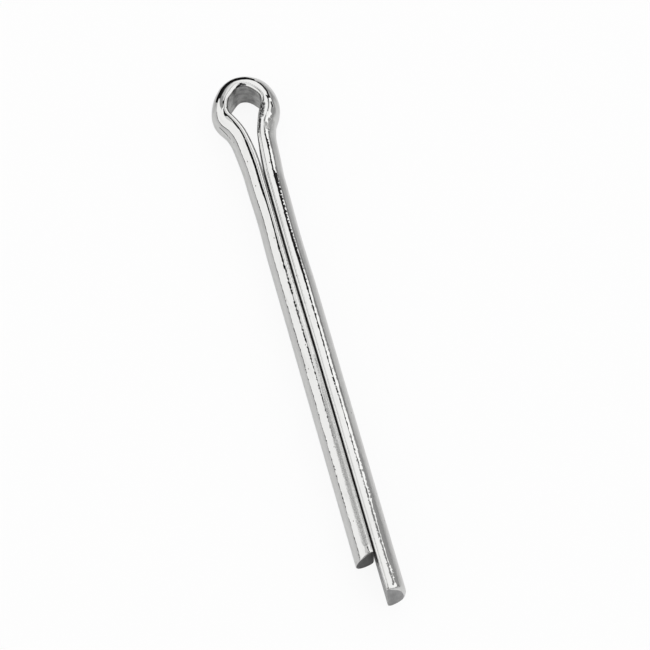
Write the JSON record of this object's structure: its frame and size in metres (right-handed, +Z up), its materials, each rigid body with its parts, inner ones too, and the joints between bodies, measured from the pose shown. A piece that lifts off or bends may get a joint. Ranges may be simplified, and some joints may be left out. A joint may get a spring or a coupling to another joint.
{
  "type": "split cotter pin",
  "caption": "Half-round steel wire bent into an eye with two flat-to-flat legs, pushed through a cross hole and splayed to lock a nut, clevis pin or shaft.",
  "frame": {"origin": "under the middle of the lying pin, at the bottom centre of its box, on the surface it rests on", "axes": "+X along the shank from the eye to the tips, +Y across the legs to the long leg's side, +Z up"},
  "size_m": [0.0414, 0.005, 0.0027],
  "materials": {
    "steel": "bright drawn steel wire, half polished, with fine draw lines along it and small tool marks at the neck"
  },
  "bodies": {
    "root": {"cotter_pin": "steel"}
  },
  "joints": []
}
